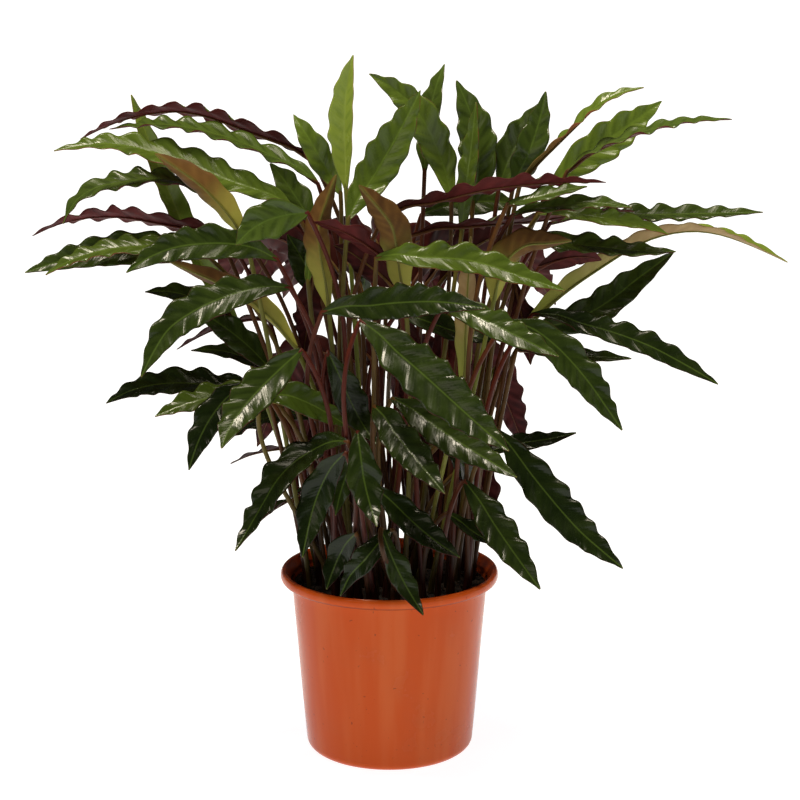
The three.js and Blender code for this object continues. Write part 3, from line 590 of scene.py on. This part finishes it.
def laid_blade(leaf, settings, side, share):
    """Lays the points of a blade along the midrib, with its waves and pleats.

    A point's side runs from -1 at the left edge to 1 at the right one, and its share from 0 at the foot to 1
    at the tip. Returns the points, the blade's upward direction at each, and the values for its materials.
    """
    lengths = share * leaf.length
    spots = leaf.spots(lengths)
    rib, up, across = (through(values, spots) for values in (leaf.rib, leaf.up, leaf.across))
    up = unit(up)
    across = square_to(across, up)
    left = side < 0
    wide = np.maximum(np.where(left, through(leaf.left, spots), through(leaf.right, spots)), LEAST_WIDTH)
    high = np.where(left, through(leaf.left_up, spots), through(leaf.right_up, spots))
    out = np.abs(side)

    kind = leaf.kind
    # Waves and pleats lean forward from the midrib to the edge, as the side veins do.
    forward = lengths - VEIN_LEAN * out * wide
    half_wave = settings.wave_length / 2
    left_turn, left_swell = uneven_turns(leaf.chance, forward, half_wave)
    right_turn, right_swell = uneven_turns(leaf.chance, forward, half_wave)
    turn = np.where(left, left_turn, right_turn)
    swell = np.where(left, left_swell, right_swell)
    height = (kind.wave * (1 - share) + kind.tip_wave * share) * np.minimum(1, wide / FULL_WAVE_WIDTH)
    # Crests are broad and troughs are narrow.
    wave = np.sin(turn) + TROUGH_SHARPNESS * np.cos(2 * turn)
    ruffle = height * swell * out**2 * wave
    # A narrow crease runs along each side vein, and fades out at the midrib and the edge.
    fade = np.sin(math.pi * np.clip(out, 0, 1) ** 0.7) * np.minimum(1, wide / FULL_PLEAT_WIDTH)
    crease = -((0.5 + 0.5 * np.cos(2 * turn)) ** 2) * fade
    groove = -GROOVE_DEPTH * np.exp(-((out * wide / GROOVE_WIDTH) ** 2))
    rise = high * out**kind.bowl + ruffle + kind.pleat * crease + groove
    spread = side * wide * (1 + EDGE_SWING * out**2 * swell * np.sin(turn + SWING_LEAD))
    points = rib + across * spread[:, None] + up * rise[:, None]
    tint = np.full(len(points), leaf.tint)
    values = {
        "across": side * wide, "along": lengths, "edge": out, "share": share, "tint": tint, "pleat": crease,
    }
    return points, up, values


def build_blade(leaf, settings, materials):
    """Adds a flat grid, lays it along the leaf's midrib and gives it thickness.

    The waves turn with a midrib that bends in space. No edit operator gives that, so the points are set here.
    """
    rows = int(np.clip(round(leaf.length / settings.step), *BLADE_ROWS))
    bpy.ops.mesh.primitive_grid_add(x_subdivisions=BLADE_COLUMNS, y_subdivisions=rows, size=1.0)
    piece = bpy.context.object
    mesh = piece.data
    flat = np.empty(len(mesh.vertices) * 3)
    mesh.vertices.foreach_get("co", flat)
    flat = flat.reshape(-1, 3)
    points, up, values = laid_blade(leaf, settings, flat[:, 0] * 2, flat[:, 1] + 0.5)
    mesh.vertices.foreach_set("co", points.ravel())
    add_values(mesh, **values)
    mesh.update()
    normal = np.array(mesh.polygons[len(mesh.polygons) // 2].normal)
    if np.dot(normal, up[len(up) // 2]) < 0:
        bpy.ops.object.mode_set(mode="EDIT")
        bpy.ops.mesh.select_all(action="SELECT")
        bpy.ops.mesh.flip_normals()
        bpy.ops.object.mode_set(mode="OBJECT")
    for material in materials:
        mesh.materials.append(material)
    thickness = piece.modifiers.new("blade thickness", "SOLIDIFY")
    thickness.thickness = settings.blade
    thickness.offset = -1
    thickness.material_offset = 1
    thickness.material_offset_rim = 1
    bpy.ops.object.modifier_apply(modifier=thickness.name)
    bpy.ops.object.shade_smooth()
    return piece


def stalk_line(leaf, settings, swell):
    """Points of a stalk from the soil to the blade and on under the midrib, with their radii and climb."""
    rise = len(leaf.stalk)
    # It starts in the peat, part of the way up its upright foot.
    foot = np.linspace(0.4, 1, 5)
    spots = np.concatenate([foot, np.linspace(1, rise - 1, STALK_STEPS * (rise - 2) + 1)[1:]])
    lead = leaf.rib[1:3] - leaf.up[1:3] * settings.stalk_radius
    low = through(np.vstack([leaf.stalk, lead]), spots)
    along = np.linspace(*RIB_REACH, RIB_STEPS + 1)[1:] * leaf.length
    under = leaf.spots(along)
    taper = np.interp(along / leaf.length, RIB_SHARES, RIB_RADII) * MM
    sunk = (taper + RIB_SINK)[:, None]
    high = through(leaf.rib, under) - unit(through(leaf.up, under)) * sunk
    low_climb = np.clip((low[:, 2] - ROOT_TOP_Z) / COLOUR_CLIMB, 0, 0.9)
    # A stalk narrows by about an eighth on its way up.
    thick = settings.stalk_radius * (1.06 - 0.14 * low_climb)
    thick = thick + swell * np.exp(-np.maximum(low[:, 2] - SHEATH_TOP_Z, 0) / SHEATH_FADE)
    climb = np.concatenate([low_climb, np.full(len(high), 0.9)])
    return np.vstack([low, high]), np.concatenate([thick, taper]), climb


def build_stalk(leaf, settings, material, swell):
    """Draws a stalk as a round curve and makes it a mesh."""
    path, radius, climb = stalk_line(leaf, settings, swell)
    bpy.ops.curve.primitive_bezier_curve_add()
    piece = bpy.context.object
    curve = piece.data
    curve.splines.clear()
    line = curve.splines.new("POLY")
    line.points.add(len(path) - 1)
    line.points.foreach_set("co", np.hstack([path, np.ones((len(path), 1))]).ravel())
    line.points.foreach_set("radius", radius)
    line.use_smooth = True
    curve.dimensions = "3D"
    curve.twist_mode = "MINIMUM"
    curve.bevel_depth = 1.0
    curve.bevel_resolution = 2
    curve.use_fill_caps = True
    bpy.ops.object.convert(target="MESH")
    piece = bpy.context.object
    mesh = piece.data
    count = len(mesh.vertices)
    ring = np.minimum(np.arange(count) * len(path) // count, len(path) - 1)
    mesh.materials.clear()
    mesh.materials.append(material)
    none = np.zeros(count)
    tint = np.full(count, leaf.green)
    add_values(mesh, across=none, along=none, edge=none, share=climb[ring], tint=tint, pleat=none)
    bpy.ops.object.shade_smooth()
    return piece


def build_shoot(name, settings, tops, unders, stalk):
    """Builds the leaves and stalks of one CAD shoot as one piece, and returns how many leaves it has."""
    kind, number = name.split("_shoot_")
    mesh = bmesh.new()
    mesh.from_mesh(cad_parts[name].data)
    bmesh.ops.remove_doubles(mesh, verts=mesh.verts, dist=WELD)
    found = leaf_rings(mesh)
    low = [corner.co for corner in mesh.verts if corner.co.z < ROOT_Z + 0.5 * MM]
    mesh.free()
    if not found:
        raise RuntimeError(f"no leaf was found in {name}")
    root = np.mean([[co.x, co.y] for co in low], axis=0)
    single = len(found) == 1
    pieces = []
    for order, (tip, rings) in enumerate(found):
        chance = random.Random(int(number) * 10 + order)
        shift = 0.0 if single else math.copysign(STALK_SPREAD, tip[0] - root[0])
        leaf = Leaf(tip, rings, root + [shift, 0], kind, chance)
        pieces.append(build_blade(leaf, settings, (tops[kind], unders[kind])))
        pieces.append(build_stalk(leaf, settings, stalk, SINGLE_SWELL if single else SHARED_SWELL))
    select_only(*pieces)
    bpy.ops.object.join()
    finish_piece(bpy.context.object, f"leaves_{kind}_{number}", f"{kind}_leaf", name)
    return len(found)


class CALATHEA_OT_leaves(bpy.types.Operator):
    """Build every leaf and stalk round its CAD shoot"""

    bl_idname = "calathea.leaves"
    bl_label = "Leaves and stalks"

    def execute(self, context):
        settings = context.scene.calathea_leaves
        tops, unders = {}, {}
        for name, kind in KINDS.items():
            dark, light = tuple(getattr(settings, f"{name}_dark")), tuple(getattr(settings, f"{name}_light"))
            tops[name] = leaf_top_material(name, dark, light, settings.vein_spacing)
            unders[name] = leaf_under_material(name, *(linear(code) for code in kind.reds))
        stalk = stalk_material()
        shoots = [name for name in sorted(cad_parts) if "_shoot_" in name]
        print("leaves built:", sum(build_shoot(name, settings, tops, unders, stalk) for name in shoots))
        return {"FINISHED"}


# Small sizes of the pot: the recess under its base and the ring that it stands on, the curve of its foot and
# the roll of its rim. The wall's rings stand closer together under the rim.
POT_SIDES = 128
RECESS = 1.4 * MM
STANDING_EDGE = 10 * MM
FOOT_CURVE = 8.5 * MM
FOOT_FLARE = 0.4 * MM
ROLL_CURVE = 2.6 * MM
WALL_SHARES = (0.2, 0.4, 0.6, 0.8, 0.93, 0.985)


def pot_profile(pot):
    """Radius and height of each ring of the pot's wall.

    They run from the recess under the base, over the rounded foot, up the outside, round the rim and down the
    inside to the floor.
    """
    roll_foot, half_roll = pot.height - pot.rim_depth, pot.rim_depth / 2
    profile = [(pot.base_radius - STANDING_EDGE - MM, RECESS), (pot.base_radius - STANDING_EDGE, 0.0)]
    for degrees in range(0, 91, 15):
        turn = math.radians(degrees)
        profile.append((
            pot.base_radius - FOOT_CURVE * (1 - math.sin(turn)) + FOOT_FLARE * math.sin(turn),
            FOOT_CURVE * (1 - math.cos(turn)),
        ))
    slope = (pot.neck_radius - pot.base_radius) / roll_foot
    for share in WALL_SHARES:
        height = FOOT_CURVE + (roll_foot - FOOT_CURVE) * share
        profile.append((pot.base_radius + slope * height, height))
    # The step under the roll, and the roll's outside.
    profile += [
        (pot.neck_radius + 0.5 * MM, roll_foot + 0.3 * MM),
        (pot.rim_radius - 3.4 * MM, roll_foot + 0.5 * MM),
    ]
    for degrees in range(-80, 81, 20):
        turn = math.radians(degrees)
        profile.append((
            pot.rim_radius - ROLL_CURVE + ROLL_CURVE * math.cos(turn),
            pot.height - half_roll + (half_roll - 0.1 * MM) * math.sin(turn),
        ))
    # The roll falls inward to the wall, which goes down to the floor.
    neck, base = pot.neck_radius - pot.wall, pot.base_radius - pot.wall
    return profile + [
        (pot.rim_radius - 4.8 * MM, pot.height - 0.6 * MM),
        (pot.rim_radius - 6.4 * MM, pot.height - 2.2 * MM),
        (neck + 2.2 * MM, roll_foot + 1.0 * MM),
        (neck, roll_foot - 6 * MM),
        (base, 9 * MM),
        (base - 1.4 * MM, 4.6 * MM),
        (base - 5 * MM, pot.floor),
    ]


class CALATHEA_OT_pot(bpy.types.Operator):
    """Build the moulded pot with its rolled rim"""

    bl_idname = "calathea.pot"
    bl_label = "Pot"

    def execute(self, context):
        pot = context.scene.calathea_pot
        (wide, high), *rings = pot_profile(pot)
        clear_selection()
        bpy.ops.mesh.primitive_circle_add(
            vertices=POT_SIDES, radius=wide, fill_type="NGON", location=(0, 0, high)
        )
        piece = bpy.context.object
        bpy.ops.object.mode_set(mode="EDIT")
        bpy.ops.mesh.select_all(action="SELECT")
        for radius, height in rings:
            share = radius / wide
            bpy.ops.mesh.extrude_region_move(TRANSFORM_OT_translate={"value": (0, 0, height - high)})
            bpy.ops.transform.resize(value=(share, share, 1), center_override=(0, 0, height))
            wide, high = radius, height
        bpy.ops.mesh.select_all(action="SELECT")
        bpy.ops.mesh.normals_make_consistent(inside=False)
        bpy.ops.object.mode_set(mode="OBJECT")
        bpy.ops.object.shade_smooth_by_angle(angle=math.radians(35))
        piece.data.materials.append(pot_material(tuple(pot.colour), pot.height - pot.rim_depth))
        finish_piece(piece, "moulded_pot", "pot_plastic", "pot")
        return {"FINISHED"}


# The peat: cells across its surface, its gap to the pot, the height of its underside, the widths of its
# lumps and of its level edge, and the seed and radii in mm of its crumbs.
PEAT_CELLS = 110
PEAT_GAP = 0.4 * MM
PEAT_FOOT = 10 * MM
LUMP = 16 * MM
SMALL_LUMP = 4.5 * MM
LEVEL_EDGE = 4 * MM
CRUMB_SEED = 11
CRUMB_RADII = (0.8, 2.6)


def lay_peat(mesh, radius, soil):
    """Presses a square grid into a disc, which keeps its cells even, and raises its lumps."""
    for corner in mesh.vertices:
        x, y = corner.co.x, corner.co.y
        spot = Vector((x * math.sqrt(1 - y * y / 2), y * math.sqrt(1 - x * x / 2), 0)) * radius
        lump = noise.fractal(spot / LUMP, 1.0, 2.0, 4) + 0.5 * noise.noise(spot / SMALL_LUMP)
        rim = min(1, (radius - spot.length) / LEVEL_EDGE)
        rise = soil.roughness * (0.55 * lump - 0.35) * max(rim, 0.15)
        corner.co = (spot.x, spot.y, soil.top + rise)


def crumb(spot, size, chance):
    """Adds one angular crumb of peat, half sunk in the surface."""
    bpy.ops.mesh.primitive_ico_sphere_add(subdivisions=1, radius=size, location=spot)
    piece = bpy.context.object
    for corner in piece.data.vertices:
        corner.co *= chance.uniform(0.65, 1.2)
    return piece


class CALATHEA_OT_soil(bpy.types.Operator):
    """Build the peat with its lumpy surface"""

    bl_idname = "calathea.soil"
    bl_label = "Peat"

    def execute(self, context):
        soil, pot = context.scene.calathea_soil, context.scene.calathea_pot
        radius = pot.neck_radius - pot.wall - PEAT_GAP
        chance = random.Random(CRUMB_SEED)
        clear_selection()
        bpy.ops.mesh.primitive_grid_add(x_subdivisions=PEAT_CELLS, y_subdivisions=PEAT_CELLS, size=2.0)
        piece = bpy.context.object
        lay_peat(piece.data, radius, soil)
        bpy.ops.object.mode_set(mode="EDIT")
        bpy.ops.mesh.select_all(action="SELECT")
        bpy.ops.mesh.region_to_loop()
        taper = (pot.base_radius - pot.wall - MM) / radius
        bpy.ops.mesh.extrude_region_move(TRANSFORM_OT_translate={"value": (0, 0, PEAT_FOOT - soil.top)})
        bpy.ops.transform.resize(value=(taper, taper, 0), center_override=(0, 0, PEAT_FOOT))
        bpy.ops.mesh.edge_face_add()
        bpy.ops.mesh.select_all(action="SELECT")
        bpy.ops.mesh.normals_make_consistent(inside=False)
        bpy.ops.object.mode_set(mode="OBJECT")
        pieces = [piece]
        for _ in range(soil.crumbs):
            turn, reach = chance.uniform(0, 2 * math.pi), radius * 0.97 * math.sqrt(chance.random())
            size = chance.uniform(*CRUMB_RADII) * MM
            spot = (reach * math.cos(turn), reach * math.sin(turn), soil.top - 0.2 * MM)
            if reach + size < radius:
                pieces.append(crumb(spot, size, chance))
        select_only(*pieces)
        bpy.ops.object.join()
        bpy.ops.object.shade_smooth()
        piece = bpy.context.object
        piece.data.materials.append(peat_material(tuple(soil.dark), tuple(soil.light)))
        finish_piece(piece, "peat", "soil", "soil")
        return {"FINISHED"}


# The studio: a sun, a dim air, three softboxes that face the middle of the plant, and the camera's place.
WARM_WHITE = linear("#fff2dc")[:3]
SUN_TURN = (math.radians(3), math.radians(-12), 0)
SUN_STRENGTH = 2.6
SUN_SPREAD = math.radians(13)
AIR_STRENGTH = 0.07
AIM = Vector((0, 0, 0.35))
CAMERA_PLACE = (0.0102, -1.918, 0.767)
SENSOR_WIDTH = 36


class Softbox(NamedTuple):
    """A square lamp: its place and width in metres, and its power in watts."""

    place: tuple
    size: float
    power: float


SOFTBOXES = {
    "overhead_softbox": Softbox((0.3, 0.0, 2.2), 0.6, 13),
    "key_softbox": Softbox((-1.5, -2.0, 1.5), 1.0, 6),
    "fill_softbox": Softbox((2.0, -1.4, 1.3), 1.2, 2.5),
}


def lay_floor(stage):
    """A matt paper sweep that glows nearly white by itself, as a light table does, so shadows stay faint."""
    bpy.ops.mesh.primitive_circle_add(
        vertices=96, radius=stage.floor_radius, fill_type="NGON", location=(0, 0, 0)
    )
    floor = bpy.context.object
    floor.name = "studio_floor"
    material, _, shader = new_material("matt_paper_sweep", Roughness=0.9, IOR=1.45)
    shader.inputs["Base Color"].default_value = tuple(stage.floor_colour)
    shader.inputs["Emission Color"].default_value = linear("#fbfdff")
    shader.inputs["Emission Strength"].default_value = stage.glow
    floor.data.materials.append(material)


def set_air(scene):
    """A dim, even light from all round."""
    world = bpy.data.worlds.new("studio_air")
    scene.world = world
    world.use_nodes = True
    sky = next(made for made in world.node_tree.nodes if made.type == "BACKGROUND")
    sky.inputs["Color"].default_value = linear("#fffaf0")
    sky.inputs["Strength"].default_value = AIR_STRENGTH


def hang_lights():
    """A soft sun from above and a little to the left, which draws the sheen, and three softboxes."""
    bpy.ops.object.light_add(type="SUN", location=(0, 0, 3), rotation=SUN_TURN)
    ceiling = bpy.context.object
    ceiling.name = "ceiling_light"
    ceiling.data.energy = SUN_STRENGTH
    ceiling.data.angle = SUN_SPREAD
    ceiling.data.color = WARM_WHITE
    for name, box in SOFTBOXES.items():
        bpy.ops.object.light_add(type="AREA", location=box.place)
        lamp = bpy.context.object
        lamp.name = name
        lamp.data.size = box.size
        lamp.data.energy = box.power
        lamp.data.color = WARM_WHITE
        lamp.rotation_euler = (AIM - Vector(box.place)).to_track_quat("-Z", "Y").to_euler()


class CALATHEA_OT_stage(bpy.types.Operator):
    """Lay the floor and set the lights and the camera"""

    bl_idname = "calathea.stage"
    bl_label = "Stage"

    def execute(self, context):
        stage = context.scene.calathea_stage
        clear_selection()
        lay_floor(stage)
        set_air(context.scene)
        hang_lights()
        turn = (math.radians(90) - stage.pitch, 0, 0)
        bpy.ops.object.camera_add(location=CAMERA_PLACE, rotation=turn)
        camera = bpy.context.object
        camera.name = "photo_camera"
        camera.data.lens = stage.lens
        camera.data.sensor_width = SENSOR_WIDTH
        context.scene.camera = camera
        context.scene.view_settings.view_transform = "Standard"
        return {"FINISHED"}


class CALATHEA_PT_panel(bpy.types.Panel):
    """Lists the steps that build the plant"""

    bl_idname = "CALATHEA_PT_panel"
    bl_label = "Potted calathea"
    bl_space_type = "VIEW_3D"
    bl_region_type = "UI"
    bl_category = "Calathea"

    def draw(self, context):
        for group in GROUPS:
            box = self.layout.box()
            box.operator(group.replace("_", "."))
            settings = getattr(context.scene, group)
            for name in settings.__annotations__:
                box.prop(settings, name)


# Each group of settings, under the name of the operator that reads it.
GROUPS = {
    "calathea_pot": PotSettings,
    "calathea_soil": SoilSettings,
    "calathea_leaves": LeafSettings,
    "calathea_stage": StageSettings,
}
CLASSES = (
    *GROUPS.values(),
    CALATHEA_OT_pot,
    CALATHEA_OT_soil,
    CALATHEA_OT_leaves,
    CALATHEA_OT_stage,
    CALATHEA_PT_panel,
)


def register():
    for made in CLASSES:
        bpy.utils.register_class(made)
    for name, group in GROUPS.items():
        setattr(bpy.types.Scene, name, bpy.props.PointerProperty(type=group))


def unregister():
    for name in GROUPS:
        delattr(bpy.types.Scene, name)
    for made in reversed(CLASSES):
        bpy.utils.unregister_class(made)


def main():
    register()
    bpy.ops.calathea.stage()
    bpy.ops.calathea.pot()
    bpy.ops.calathea.soil()
    bpy.ops.calathea.leaves()


if __name__ == "__main__":
    main()
